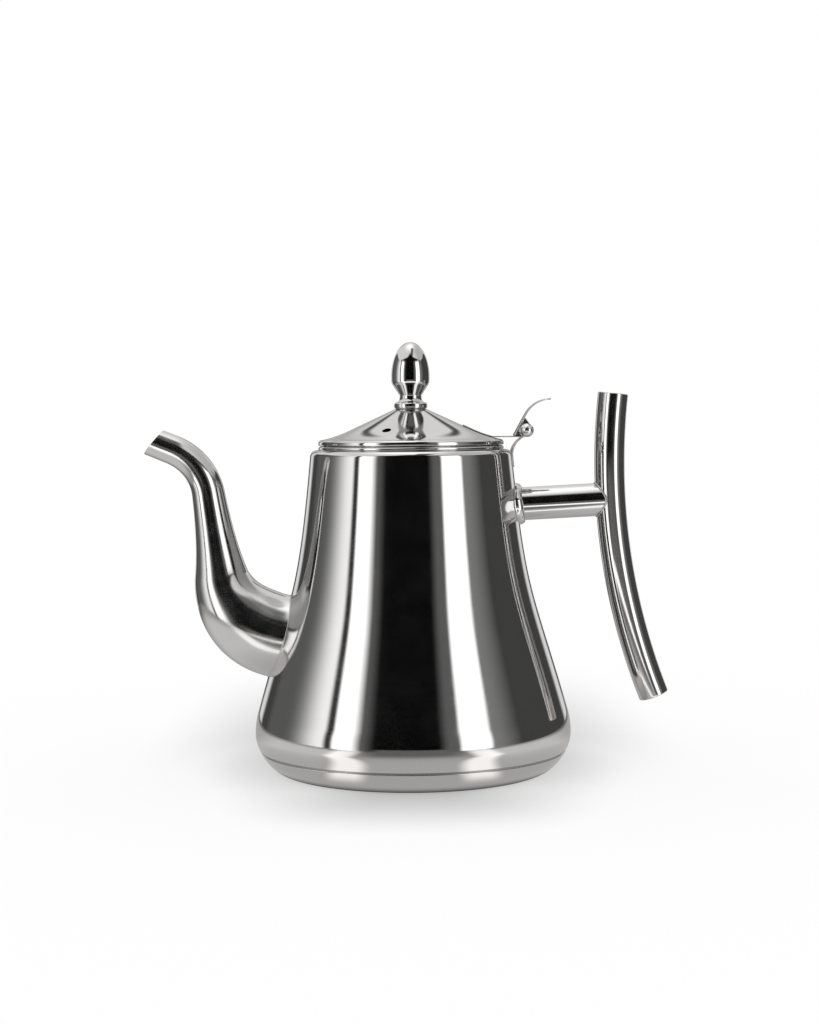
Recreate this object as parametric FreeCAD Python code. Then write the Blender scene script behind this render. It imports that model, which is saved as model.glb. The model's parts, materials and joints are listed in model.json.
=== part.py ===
"""Gooseneck kettle in polished stainless sheet, with a hinged lid and a side handle.

Millimetres, +Z up. The origin is the centre of the foot, the spout points along -X
and the handle along +X.
"""
import FreeCAD
import Part
import math
import os

# Body wall and its lip
BODY_D = 158.0
BULGE_Z = 19.0
BULGE_BEND = 41.0
FLARE_ANGLE = 15.9
FLARE_LOWER_PULL = 63.5
FLARE_UPPER_PULL = 70.0
SHOULDER_Z = 157.3
SHOULDER_LEAN = 5.5
SHOULDER_ROUND = 3.2
SHOULDER_FLAT = 1.4
LIP_D = 92.4
LIP_BEAD = 2.3
LIP_BEAD_CREASE = 50.0
WALL = 0.8

# Base: seam, inner pan, aluminium disc and outer cap
FOOT_D = 129.0
FOOT_FULLNESS = 0.5
SEAM_Z = 10.8
SEAM_GROOVE = 0.4
CAP_SHEET = 0.8
DISC_THICK = 3.0
DISC_MARGIN = 4.0
PAN_INSET = 6.0
PAN_CORNER = 4.0

# Spout: a lead-in, an elbow, a run and a curved neck, all in the XZ plane
SPOUT_Z = 66.6
SPOUT_LEAD = 14.0
SPOUT_SINK = 4.2
SPOUT_ROOT_ANGLE = 6.0
SPOUT_ROOT_D = 42.2
ELBOW_BEND = 37.4
RUN_ANGLE = 81.6
RUN_LENGTH = 40.7
NECK_BEND = 28.9
TIP_ANGLE = 22.0
TIP_LENGTH = 10.0
TIP_D = 14.5
TIP_CUT_ANGLE = 17.7
TIP_OVERRUN = 14.5
TAPER_LENGTH = 47.0
TAPER_POWER = 3.4
SPOUT_WALL = 0.8
SPOUT_SECTIONS = 26
STRAINER_D = 5.0
STRAINER_PITCH = 7.7
STRAINER_LAND = 2.3

# Handle: a level strut and a bowed oval grip with closed ends
STRUT_DROP = 24.7
STRUT_TILT = 2.8
STRUT_D = 16.5
STRUT_LENGTH = 39.2
TUBE_WALL = 1.0
GRIP_DEPTH = 15.0
GRIP_WIDTH = 18.0
GRIP_BEND = 320.0
GRIP_APEX_RISE = 19.9
GRIP_ABOVE = 55.0
GRIP_BELOW = 96.5
GRIP_CAP_THICK = 1.0

# Lid
LID_GAP = 0.3
LID_RIM_H = 2.7
LID_RIM_ROUND = 1.5
LID_RIM_EDGE = 0.5
LID_FLARE_W = 15.5
LID_FLARE_H = 4.7
LID_RISE = 15.1
LID_SHEET = 0.8
SKIRT_CLEARANCE = 1.25
SKIRT_DEPTH = 6.0
SKIRT_SHEET = 0.8
VENT_D = 4.5
VENT_FROM_RIM = 15.8
VENT_AZIMUTH = 247.2

# Knob and its fixing
COLLAR_D = 16.6
COLLAR_H = 3.6
COLLAR_ROUND = 1.4
KNOB_D = 19.0
KNOB_H = 29.9
KNOB_WAIST_D = 10.8
KNOB_NECK_H = 3.3
KNOB_BELLY_H = 12.7
KNOB_FOOT_D = 13.2
KNOB_TIP_FLAT_D = 9.0
KNOB_CUP_PULL = 5.1
KNOB_CUP_ANGLE = 25.0
SCREW_D = 4.0
SCREW_GRIP = 10.0
SCREW_HEAD_D = 7.0
SCREW_HEAD_H = 2.4
SCREW_SLOT = 1.0
SCREW_HOLE_CLEARANCE = 0.2
WASHER_MARGIN = 1.8
WASHER_THICK = 1.0
SEAT_CLEARANCE = 0.02

# Lid hinge
PIN_D = 4.0
PIN_OUT = 11.1
PIN_UP = 7.3
PIN_CLEARANCE = 0.03
BALL_D = 6.8
BALL_SEAT_LAND = 0.6
KNUCKLE_WALL = 1.37
KNUCKLE_WIDTH = 10.0
KNUCKLE_BACK = 5.6
KNUCKLE_APEX_UP = 6.5
KNUCKLE_APEX_BACK = 0.5
SIDE_CLEARANCE = 0.3
LEAF_SHEET = 0.8
LEAF_WIDTH = 10.0
LEAF_TAB_LENGTH = 21.0
LEVER_SHEET = 0.8
LEVER_WIDTH = 14.0
LEVER_STRAIGHT = 1.6
LEVER_BEND = 14.0
LEVER_TAB_ROUND = 4.0
BRACKET_SHEET = 0.9
BRACKET_WIDTH = 18.0
BRACKET_FOOT_H = 6.0
BRACKET_NOTCH = 1.2

UP = FreeCAD.Vector(0, 0, 1)
ACROSS = FreeCAD.Vector(0, 1, 0)


def point(x, z, y=0.0):
    """A place in the kettle's middle plane, or beside it."""
    return FreeCAD.Vector(x, y, z)


def heading(angle):
    """The way that points to -X, raised by an angle."""
    turn = math.radians(angle)
    return point(-math.cos(turn), math.sin(turn))


def polar(centre, radius, angle):
    """A point of the middle plane, at an angle from +X towards +Z."""
    turn = math.radians(angle)
    return centre + point(radius * math.cos(turn), radius * math.sin(turn))


def line(start, end):
    return Part.LineSegment(start, end).toShape()


def arc(centre, radius, start_angle, end_angle):
    """An arc of the middle plane about a centre."""
    middle_angle = (start_angle + end_angle) / 2
    ends = [polar(centre, radius, a) for a in (start_angle, middle_angle, end_angle)]
    return Part.Arc(*ends).toShape()


def bezier(poles):
    curve = Part.BezierCurve()
    curve.setPoles(poles)
    return curve.toShape()


def closed_face(edges):
    return Part.Face(Part.Wire(edges))


def turned(edges):
    """A solid turned about the kettle's axis from a closed half section."""
    return closed_face(edges).revolve(point(0, 0), UP, 360)


def extruded(edges, width):
    """A solid of a width across the middle plane, centred on it."""
    face = closed_face(edges)
    face.translate(ACROSS * (-width / 2))
    return face.extrude(ACROSS * width)


def polyline(points):
    return [line(a, b) for a, b in zip(points, points[1:])]


def cross_rod(centre, radius, y_start, y_end):
    """A round rod that lies across the middle plane."""
    start = centre + ACROSS * y_start
    return Part.makeCylinder(radius, y_end - y_start, start, ACROSS)


def ring(inner_radius, outer_radius, z_low, z_high):
    """A plain washer-like ring about the kettle's axis."""
    corners = [
        point(inner_radius, z_low),
        point(outer_radius, z_low),
        point(outer_radius, z_high),
        point(inner_radius, z_high),
        point(inner_radius, z_low),
    ]
    return turned(polyline(corners))


# Heights and radii that several pieces share
bulge_r = BODY_D / 2
foot_r = FOOT_D / 2
seam_low = SEAM_Z - WALL / 2
seam_high = SEAM_Z + WALL / 2
lip_r = LIP_D / 2
bead_r = LIP_BEAD / 2
mouth_r = lip_r - LIP_BEAD
bead_foot_x = lip_r - bead_r + bead_r * math.cos(math.radians(LIP_BEAD_CREASE))
shoulder_centre = point(
    bead_foot_x + SHOULDER_FLAT,
    SHOULDER_Z - SHOULDER_ROUND * math.sin(math.radians(SHOULDER_LEAN)),
)
flat_z = shoulder_centre.z + SHOULDER_ROUND
bead_centre = point(
    lip_r - bead_r, flat_z + bead_r * math.sin(math.radians(LIP_BEAD_CREASE))
)
lip_top = bead_centre.z + bead_r
bulge_centre = point(bulge_r - BULGE_BEND, BULGE_Z)


# Body wall

def base_round_turn(inset, z):
    """How far along the turn from bulge to foot a height lies, from 0 up, and its divisor."""
    divisor = (BULGE_Z - inset) / (z - inset)
    turn = math.sqrt(FOOT_FULLNESS ** 2 - 1 + divisor) - FOOT_FULLNESS
    return turn, divisor


def base_round_radius(inset, z):
    """Radius of the turn from bulge to foot at one height, moved in by an inset."""
    turn, divisor = base_round_turn(inset, z)
    return bulge_r - inset - (bulge_r - inset - foot_r) * turn ** 2 / divisor


def base_round(inset, z_low, z_high):
    """The turn from bulge to foot between two heights, moved in by an inset."""
    curve = Part.BezierCurve()
    curve.setPoles([
        point(bulge_r - inset, BULGE_Z),
        point(bulge_r - inset, inset),
        point(foot_r, inset),
    ])
    curve.setWeight(2, FOOT_FULLNESS)

    def station(z):
        if z <= inset:
            return 1.0
        turn, _ = base_round_turn(inset, z)
        return turn / (1 + turn)

    return curve.toShape(station(z_high), station(z_low))


def wall_edges(inset):
    """The wall from the bulge up to the inner end of the shoulder, moved in by an inset."""
    flare_foot = polar(bulge_centre, BULGE_BEND - inset, FLARE_ANGLE)
    flare_top = polar(shoulder_centre, SHOULDER_ROUND - inset, SHOULDER_LEAN)
    lower_handle = polar(flare_foot, FLARE_LOWER_PULL, FLARE_ANGLE + 90)
    upper_handle = polar(flare_top, FLARE_UPPER_PULL, SHOULDER_LEAN - 90)
    return [
        arc(bulge_centre, BULGE_BEND - inset, 0, FLARE_ANGLE),
        bezier([flare_foot, lower_handle, upper_handle, flare_top]),
        arc(shoulder_centre, SHOULDER_ROUND - inset, SHOULDER_LEAN, 90),
    ]


shoulder_top = point(shoulder_centre.x, flat_z)
body_section = closed_face(
    polyline([point(0, flat_z), point(0, 0), point(foot_r, 0)])
    + [base_round(0, 0, BULGE_Z)]
    + wall_edges(0)
    + [line(shoulder_top, point(0, flat_z))]
)
body_volume = body_section.revolve(point(0, 0), UP, 360)


def wall_radius(z):
    """Outer radius of the body wall at one height."""
    cuts = body_section.slice(UP, z)
    return max(v.X for cut in cuts for v in cut.Vertexes)


def make_body_shell():
    """Wall from the seam to the rolled lip, with the strainer holes behind the spout."""
    bead_foot = polar(bead_centre, bead_r, -LIP_BEAD_CREASE)
    shelf_low = flat_z - WALL
    inner_seam = point(base_round_radius(WALL, seam_high), seam_high)
    outer_seam = point(base_round_radius(0, seam_high), seam_high)
    shell = turned(
        [line(inner_seam, outer_seam), base_round(0, seam_high, BULGE_Z)]
        + wall_edges(0)
        + [line(shoulder_top, bead_foot), arc(bead_centre, bead_r, -LIP_BEAD_CREASE, 180)]
        + polyline([
            point(mouth_r, bead_centre.z),
            point(mouth_r, shelf_low),
            point(shoulder_centre.x, shelf_low),
        ])
        + wall_edges(WALL)[::-1]
        + [base_round(WALL, seam_high, BULGE_Z)]
    )
    return shell.cut(Part.makeCompound(strainer_drills()))


def strainer_drills():
    """Drills for one centre hole and the rings of holes round it, along the spout's root.

    There are as many rings as the root holds, and as many holes as fit round each ring.
    """
    span = SPOUT_ROOT_D / 2 - SPOUT_WALL - STRAINER_LAND - STRAINER_D / 2
    along = heading(SPOUT_ROOT_ANGLE)
    upward = heading(SPOUT_ROOT_ANGLE + 90)
    reach = wall_radius(SPOUT_Z)
    start = spout_root() - along * reach
    spots = [start]
    for ring_number in range(1, int(span / STRAINER_PITCH) + 1):
        ring_r = ring_number * STRAINER_PITCH
        holes = int(2 * math.pi * ring_r / STRAINER_PITCH)
        for hole in range(holes):
            turn = 2 * math.pi * hole / holes
            offset = upward * math.cos(turn) + ACROSS * math.sin(turn)
            spots.append(start + offset * ring_r)
    return [Part.makeCylinder(STRAINER_D / 2, 2 * reach, spot, along) for spot in spots]


# Base

def make_base_cap():
    """Outer cup from the seam down to the flat foot."""
    seam_outer = point(base_round_radius(0, seam_low), seam_low)
    seam_inner = point(base_round_radius(CAP_SHEET, seam_low), seam_low)
    return turned(
        polyline([
            point(foot_r, CAP_SHEET),
            point(0, CAP_SHEET),
            point(0, 0),
            point(foot_r, 0),
        ])
        + [base_round(0, 0, seam_low), line(seam_outer, seam_inner)]
        + [base_round(CAP_SHEET, CAP_SHEET, seam_low)]
    )


disc_top = CAP_SHEET + DISC_THICK


def make_heat_disc():
    """Aluminium disc that lies between the outer cap and the inner pan."""
    return Part.makeCylinder(foot_r - DISC_MARGIN, DISC_THICK, point(0, CAP_SHEET), UP)


def make_base_pan():
    """Inner bottom, whose flange is caught in the seam under the wall."""
    pan_r = base_round_radius(WALL, seam_low) - PAN_INSET
    flange_r = base_round_radius(0, seam_low) - SEAM_GROOVE
    corner = point(pan_r - PAN_CORNER, disc_top + PAN_CORNER)
    return turned(
        polyline([
            point(corner.x, disc_top + WALL),
            point(0, disc_top + WALL),
            point(0, disc_top),
            point(corner.x, disc_top),
        ])
        + [arc(corner, PAN_CORNER, -90, 0)]
        + polyline([
            point(pan_r, corner.z),
            point(pan_r, seam_low),
            point(flange_r, seam_low),
            point(flange_r, seam_high),
            point(pan_r - WALL, seam_high),
            point(pan_r - WALL, corner.z),
        ])
        + [arc(corner, PAN_CORNER - WALL, 0, -90)]
    )


# Spout

elbow_length = ELBOW_BEND * math.radians(RUN_ANGLE - SPOUT_ROOT_ANGLE)
neck_length = NECK_BEND * math.radians(RUN_ANGLE - TIP_ANGLE)
spout_length = elbow_length + RUN_LENGTH + neck_length + TIP_LENGTH


def spout_root():
    """Where the spout's lead-in ends and its elbow begins."""
    return point(SPOUT_SINK - wall_radius(SPOUT_Z), SPOUT_Z)


def spout_station(distance):
    """Place and heading angle of the spout's axis at a distance along it from the root."""
    root = spout_root()
    if distance < 0:
        return root + heading(SPOUT_ROOT_ANGLE) * distance, SPOUT_ROOT_ANGLE
    elbow_centre = root + heading(SPOUT_ROOT_ANGLE + 90) * ELBOW_BEND
    elbow_angle = SPOUT_ROOT_ANGLE + math.degrees(min(distance, elbow_length) / ELBOW_BEND)
    place = elbow_centre - heading(elbow_angle + 90) * ELBOW_BEND
    if distance <= elbow_length:
        return place, elbow_angle
    run = min(distance - elbow_length, RUN_LENGTH)
    place = place + heading(RUN_ANGLE) * run
    beyond = distance - elbow_length - RUN_LENGTH
    if beyond <= 0:
        return place, RUN_ANGLE
    neck_centre = place - heading(RUN_ANGLE + 90) * NECK_BEND
    neck_angle = RUN_ANGLE - math.degrees(min(beyond, neck_length) / NECK_BEND)
    place = neck_centre + heading(neck_angle + 90) * NECK_BEND
    straight = max(beyond - neck_length, 0)
    return place + heading(neck_angle) * straight, neck_angle


def spout_radius(distance):
    """Outer radius along the spout: wide through the elbow, slim from there to the tip."""
    def fullness(length):
        return 1 / (1 + (max(length, 0) / TAPER_LENGTH) ** TAPER_POWER)

    least = fullness(spout_length)
    share = (fullness(min(distance, spout_length)) - least) / (1 - least)
    return TIP_D / 2 + (SPOUT_ROOT_D - TIP_D) / 2 * share


def spout_volume(inset):
    """The spout's outer form, or its bore when moved in by the sheet."""
    start = -SPOUT_LEAD
    end = spout_length + TIP_OVERRUN
    wires = []
    for number in range(SPOUT_SECTIONS + 1):
        distance = start + (end - start) * number / SPOUT_SECTIONS
        place, angle = spout_station(distance)
        circle = Part.makeCircle(spout_radius(distance) - inset, point(0, 0), point(-1, 0))
        circle.rotate(point(0, 0), ACROSS, angle)
        circle.translate(place)
        wires.append(Part.Wire(circle))
    return Part.makeLoft(wires, True, False)


def make_spout():
    """Hollow tapering spout, coped to the wall and cut slantwise at its tip."""
    tip, angle = spout_station(spout_length)
    waste = 2 * (TIP_D + TIP_OVERRUN)
    trim = Part.makeCylinder(waste, waste, tip, heading(angle + TIP_CUT_ANGLE))
    outside = spout_volume(0).cut(body_volume).cut(trim)
    return outside.cut(spout_volume(SPOUT_WALL))


# Handle

strut_z = SHOULDER_Z - STRUT_DROP
strut_root = point(wall_radius(strut_z), strut_z)
strut_way = polar(point(0, 0), 1, STRUT_TILT)
strut_end_z = strut_z + STRUT_LENGTH * math.tan(math.radians(STRUT_TILT))
grip_apex_z = strut_z + GRIP_APEX_RISE
grip_axis_x = strut_root.x + STRUT_LENGTH + GRIP_DEPTH / 2
grip_centre = point(
    grip_axis_x + math.sqrt(GRIP_BEND ** 2 - (grip_apex_z - strut_end_z) ** 2), grip_apex_z
)


def grip_angle(z):
    """Turn about the grip's bend centre that reaches a height."""
    return math.degrees(math.asin((z - grip_apex_z) / GRIP_BEND))


grip_low = grip_angle(strut_z - GRIP_BELOW)
grip_high = grip_angle(strut_z + GRIP_ABOVE)
grip_cap_turn = math.degrees(GRIP_CAP_THICK / GRIP_BEND)


def grip_volume(inset, start_angle, end_angle):
    """The bowed oval bar between two turns, moved in by an inset."""
    centre = point(grip_centre.x - GRIP_BEND, grip_apex_z)
    ends = [
        centre + point(GRIP_DEPTH / 2 - inset, 0),
        centre + ACROSS * (GRIP_WIDTH / 2 - inset),
    ]
    ends.sort(key=lambda end: (end - centre).Length, reverse=True)
    oval = Part.Face(Part.Wire(Part.Ellipse(ends[0], ends[1], centre).toShape()))
    oval.rotate(grip_centre, ACROSS, start_angle)
    return oval.revolve(grip_centre, ACROSS, end_angle - start_angle)


def make_handle_grip():
    """Bowed oval tube."""
    span = (grip_low + grip_cap_turn, grip_high - grip_cap_turn)
    return grip_volume(0, *span).cut(grip_volume(TUBE_WALL, *span))


def make_handle_top_cap():
    return grip_volume(0, grip_high - grip_cap_turn, grip_high)


def make_handle_bottom_cap():
    return grip_volume(0, grip_low, grip_low + grip_cap_turn)


def make_handle_strut():
    """Round tube from the wall to the grip, coped to both."""
    start = strut_root - strut_way * STRUT_D
    length = STRUT_D + STRUT_LENGTH + GRIP_DEPTH / 2
    bar = Part.makeCylinder(STRUT_D / 2, length, start, strut_way)
    bore = Part.makeCylinder(STRUT_D / 2 - TUBE_WALL, length, start, strut_way)
    return bar.cut(bore).cut(body_volume).cut(grip_volume(0, grip_low, grip_high))


# Lid

rim_low = lip_top + LID_GAP
rim_top = rim_low + LID_RIM_H
lid_top = rim_top + LID_RISE
collar_r = COLLAR_D / 2
rim_inner = lip_r - LID_RIM_ROUND
flare_in = point(lip_r - LID_FLARE_W, rim_top + LID_FLARE_H)
screw_hole_r = SCREW_D / 2 + SCREW_HOLE_CLEARANCE


def lid_edges(drop):
    """The lid's upper skin from the knob's seat out to the rim, lowered by a drop."""
    seat = point(collar_r, lid_top - drop)
    cone_foot = flare_in - UP * drop
    rim = point(rim_inner, rim_top - drop)
    share = (rim.x - cone_foot.x) / 2 / (cone_foot.x - seat.x)
    handle = cone_foot + (cone_foot - seat) * share
    return [line(seat, cone_foot), bezier([cone_foot, handle, rim])]


def lid_block(rise, z_low):
    """All that lies under the lid's skin, raised by a rise, down to a level."""
    top = lid_top + rise
    rim = point(rim_inner, rim_top + rise)
    edge = point(lip_r, rim_top + rise)
    return turned(
        [line(point(0, top), point(collar_r, top))]
        + lid_edges(-rise)
        + polyline([rim, edge, point(lip_r, z_low), point(0, z_low), point(0, top)])
    )


def make_lid_shell():
    """Pressed lid with a hemmed rim, a seat for the knob and one vent hole."""
    edge_centre = point(lip_r - LID_RIM_EDGE, rim_low + LID_RIM_EDGE)
    round_centre = point(rim_inner, rim_top - LID_RIM_ROUND)
    under = lid_top - LID_SHEET
    shell = turned(
        polyline([
            point(collar_r, under),
            point(screw_hole_r, under),
            point(screw_hole_r, lid_top),
            point(collar_r, lid_top),
        ])
        + lid_edges(0)
        + [arc(round_centre, LID_RIM_ROUND, 90, 0)]
        + [line(point(lip_r, round_centre.z), point(lip_r, edge_centre.z))]
        + [arc(edge_centre, LID_RIM_EDGE, 0, -90)]
        + polyline([
            point(edge_centre.x, rim_low),
            point(rim_inner, rim_low),
            point(rim_inner, rim_top - LID_SHEET),
        ])
        + lid_edges(LID_SHEET)[::-1]
    )
    turn = math.radians(VENT_AZIMUTH)
    vent_r = lip_r - VENT_FROM_RIM
    vent = point(vent_r * math.cos(turn), lip_top, vent_r * math.sin(turn))
    return shell.cut(Part.makeCylinder(VENT_D / 2, lid_top - lip_top, vent, UP))


def make_lid_skirt():
    """Plain ring under the lid that locates it in the mouth."""
    outer = mouth_r - SKIRT_CLEARANCE
    tube = ring(outer - SKIRT_SHEET, outer, lip_top - SKIRT_DEPTH, rim_top)
    above = lid_block(0, 0).cut(lid_block(-LID_SHEET, 0))
    return tube.cut(above).common(lid_block(-LID_SHEET, 0))


# Knob

collar_top = lid_top + COLLAR_H
belly_z = collar_top + KNOB_BELLY_H
knob_top = collar_top + KNOB_H
washer_low = lid_top - LID_SHEET - WASHER_THICK


def make_knob_collar():
    """Rounded flange between the lid and the knob."""
    inner = collar_r - COLLAR_ROUND
    low = point(inner, lid_top + COLLAR_ROUND)
    high = point(inner, collar_top - COLLAR_ROUND)
    return turned(
        polyline([
            point(inner, collar_top),
            point(screw_hole_r, collar_top),
            point(screw_hole_r, lid_top),
            point(inner, lid_top),
        ])
        + [arc(low, COLLAR_ROUND, -90, 0)]
        + [line(point(collar_r, low.z), point(collar_r, high.z))]
        + [arc(high, COLLAR_ROUND, 0, 90)]
    )


def make_knob():
    """Turned egg on a waisted neck, with a blind hole for the screw."""
    waist = point(KNOB_WAIST_D / 2, collar_top + KNOB_NECK_H)
    foot = point(KNOB_FOOT_D / 2, collar_top)
    belly = point(KNOB_D / 2, belly_z)
    tip = point(0, knob_top)
    neck_handle = point(waist.x, foot.z + KNOB_NECK_H / 3)
    cup_handle = polar(waist, KNOB_CUP_PULL / 2, KNOB_CUP_ANGLE)
    under_belly = belly - UP * KNOB_CUP_PULL
    over_belly = point(belly.x, (belly_z + knob_top) / 2)
    tip_handle = point(KNOB_TIP_FLAT_D / 2, knob_top)
    egg = turned(
        [line(point(0, collar_top), foot)]
        + [bezier([foot, neck_handle, waist])]
        + [bezier([waist, cup_handle, under_belly, belly])]
        + [bezier([belly, over_belly, tip_handle, tip])]
        + [line(tip, point(0, collar_top))]
    )
    hole_depth = SCREW_GRIP + SCREW_D / 2
    hole = Part.makeCylinder(SCREW_D / 2 + SEAT_CLEARANCE, hole_depth, point(0, collar_top), UP)
    return egg.cut(hole)


def make_knob_washer():
    """Flat washer under the lid's seat."""
    return ring(screw_hole_r, collar_r - WASHER_MARGIN, washer_low, washer_low + WASHER_THICK)


def make_knob_screw():
    """Slotted screw that draws the knob down on the lid."""
    head_low = washer_low - SCREW_HEAD_H
    shank_length = collar_top + SCREW_GRIP - washer_low
    head = Part.makeCylinder(SCREW_HEAD_D / 2, SCREW_HEAD_H, point(0, head_low), UP)
    shank = Part.makeCylinder(SCREW_D / 2, shank_length, point(0, washer_low), UP)
    slot = Part.makeBox(SCREW_HEAD_D, SCREW_SLOT, SCREW_HEAD_H / 2)
    slot.translate(point(-SCREW_HEAD_D / 2, head_low, -SCREW_SLOT / 2))
    return head.fuse(shank).cut(slot).removeSplitter()


# Lid hinge

pin = point(lip_r + PIN_OUT, lip_top + PIN_UP)
pin_r = PIN_D / 2
eye_bore_r = pin_r + PIN_CLEARANCE
eye_r = eye_bore_r + KNUCKLE_WALL
leaf_low = pin.z - eye_r
leaf_end_x = pin.x - KNUCKLE_BACK
heel = point(leaf_end_x, leaf_low + LEAF_SHEET)
apex = pin + point(-KNUCKLE_APEX_BACK, KNUCKLE_APEX_UP)
slope = math.degrees(math.atan2(apex.z - heel.z, apex.x - heel.x))


def make_lid_knuckle():
    """Solid drop-shaped barrel that turns on the pin."""
    reach = math.hypot(apex.x - pin.x, apex.z - pin.z)
    toward_apex = math.degrees(math.atan2(apex.z - pin.z, apex.x - pin.x))
    touch_angle = toward_apex - math.degrees(math.acos(eye_r / reach))
    block = extruded(
        [line(point(leaf_end_x, leaf_low), point(pin.x, leaf_low))]
        + [arc(pin, eye_r, -90, touch_angle)]
        + polyline([
            polar(pin, eye_r, touch_angle),
            apex,
            heel,
            point(leaf_end_x, leaf_low),
        ]),
        KNUCKLE_WIDTH,
    )
    return block.cut(cross_rod(pin, eye_bore_r, -KNUCKLE_WIDTH, KNUCKLE_WIDTH))


def make_lid_hinge_leaf():
    """Strap that lies on the lid's slope and runs level to the knuckle."""
    half = LEAF_WIDTH / 2
    start = point(lip_r - LEAF_TAB_LENGTH, leaf_low, -half)
    length = leaf_end_x - start.x
    strap = Part.makeBox(length, LEAF_WIDTH, LEAF_SHEET, start)
    slab = Part.makeBox(length, LEAF_WIDTH, LID_RISE, start)
    tab = lid_block(LEAF_SHEET, 0).common(slab)
    return strap.fuse(tab).cut(lid_block(0, 0)).removeSplitter()


def make_thumb_lever():
    """Curled strip on the knuckle's slope that lifts the lid when pressed."""
    normal = slope + 90
    bend_start = polar(apex, LEVER_STRAIGHT, slope)
    bend_centre = polar(bend_start, LEVER_BEND, slope - 90)
    inner_end = polar(bend_centre, LEVER_BEND, 90)
    outer = LEVER_BEND + LEVER_SHEET
    blade = extruded(
        [line(heel, bend_start), arc(bend_centre, LEVER_BEND, normal, 90)]
        + [line(inner_end, polar(bend_centre, outer, 90))]
        + [arc(bend_centre, outer, 90, normal)]
        + polyline([polar(bend_centre, outer, normal), polar(heel, LEVER_SHEET, normal), heel]),
        LEVER_WIDTH,
    )
    near = LEVER_SHEET / 2
    corners = [
        edge for edge in blade.Edges
        if edge.Length < LEVER_SHEET + near and abs(edge.CenterOfMass.x - inner_end.x) < near
    ]
    return blade.makeFillet(LEVER_TAB_ROUND, corners)


def make_hinge_bracket():
    """Curved strip on the body's shoulder that ends in two eyes for the pin."""
    half = BRACKET_SHEET / 2
    side = BRACKET_WIDTH / 2
    eye_mid = eye_bore_r + half
    foot_x = wall_radius(SHOULDER_Z) + half
    across = foot_x - pin.x
    drop = SHOULDER_Z - pin.z
    bend = (across ** 2 + drop ** 2 - eye_mid ** 2) / (2 * (eye_mid - across))
    centre = point(foot_x + bend, SHOULDER_Z)
    end_angle = math.degrees(math.atan2(pin.z - centre.z, pin.x - centre.x))
    foot_low = SHOULDER_Z - BRACKET_FOOT_H
    sunk = math.sqrt(wall_radius(SHOULDER_Z) ** 2 - side ** 2) - WALL
    strip = extruded(
        polyline([
            polar(centre, bend - half, end_angle),
            polar(centre, bend + half, end_angle),
        ])
        + [arc(centre, bend + half, end_angle, 180)]
        + polyline([
            point(foot_x - half, SHOULDER_Z),
            point(sunk, SHOULDER_Z),
            point(sunk, foot_low),
            point(foot_x + half, foot_low),
            point(foot_x + half, SHOULDER_Z),
        ])
        + [arc(centre, bend - half, 180, end_angle)],
        BRACKET_WIDTH,
    )
    middle = KNUCKLE_WIDTH / 2 + SIDE_CLEARANCE
    eyes = cross_rod(pin, eye_bore_r + BRACKET_SHEET, -side, side)
    notch = cross_rod(pin, eye_r + BRACKET_NOTCH, -middle, middle)
    bore = cross_rod(pin, eye_bore_r, -side, side)
    return strip.fuse(eyes).cut(notch).cut(bore).cut(body_volume).removeSplitter()


ball_reach = math.sqrt((BALL_D / 2) ** 2 - (pin_r + BALL_SEAT_LAND) ** 2)


def make_hinge_pin():
    """Plain rod through the bracket's eyes and the knuckle, seated in both balls."""
    end = BRACKET_WIDTH / 2 + ball_reach
    return cross_rod(pin, pin_r, -end, end)


def make_pin_ball(side):
    """Ball nut on one end of the pin, flat where it bears on the bracket's eye."""
    seat = BRACKET_WIDTH / 2
    ball = Part.makeSphere(BALL_D / 2, pin + ACROSS * (side * (seat + ball_reach)))
    inside = cross_rod(pin, BALL_D, -seat, seat)
    socket = cross_rod(pin, pin_r + SEAT_CLEARANCE, -seat - ball_reach, seat + ball_reach)
    return ball.cut(inside).cut(socket)


pieces = {
    "body_shell": make_body_shell(),
    "base_pan": make_base_pan(),
    "heat_disc": make_heat_disc(),
    "base_cap": make_base_cap(),
    "spout": make_spout(),
    "handle_strut": make_handle_strut(),
    "handle_grip": make_handle_grip(),
    "handle_top_cap": make_handle_top_cap(),
    "handle_bottom_cap": make_handle_bottom_cap(),
    "hinge_bracket": make_hinge_bracket(),
    "hinge_pin": make_hinge_pin(),
    "pin_ball_front": make_pin_ball(-1),
    "pin_ball_rear": make_pin_ball(1),
    "lid_shell": make_lid_shell(),
    "lid_skirt": make_lid_skirt(),
    "lid_hinge_leaf": make_lid_hinge_leaf(),
    "lid_knuckle": make_lid_knuckle(),
    "thumb_lever": make_thumb_lever(),
    "knob_collar": make_knob_collar(),
    "knob": make_knob(),
    "knob_washer": make_knob_washer(),
    "knob_screw": make_knob_screw(),
}

os.makedirs("parts", exist_ok=True)
for name, shape in pieces.items():
    solid = shape.Solids[0] if len(shape.Solids) == 1 else shape
    solid.exportStep(f"parts/{name}.step")
    box = solid.BoundBox
    print(
        f"{name}: {len(shape.Solids)} solid, valid {solid.isValid()}, {solid.Volume:.1f} mm3,"
        f" x {box.XMin:.1f}..{box.XMax:.1f}, z {box.ZMin:.1f}..{box.ZMax:.1f}"
    )
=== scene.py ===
"""A polished stainless gooseneck kettle, dressed piece by piece in the order of its making.

Metres, +Z up. The spout points along -X, the handle along +X, and the flat foot stands on z = 0.
"""

import json
import math

import bmesh
import bpy
from mathutils import Euler, Matrix, Vector


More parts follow.
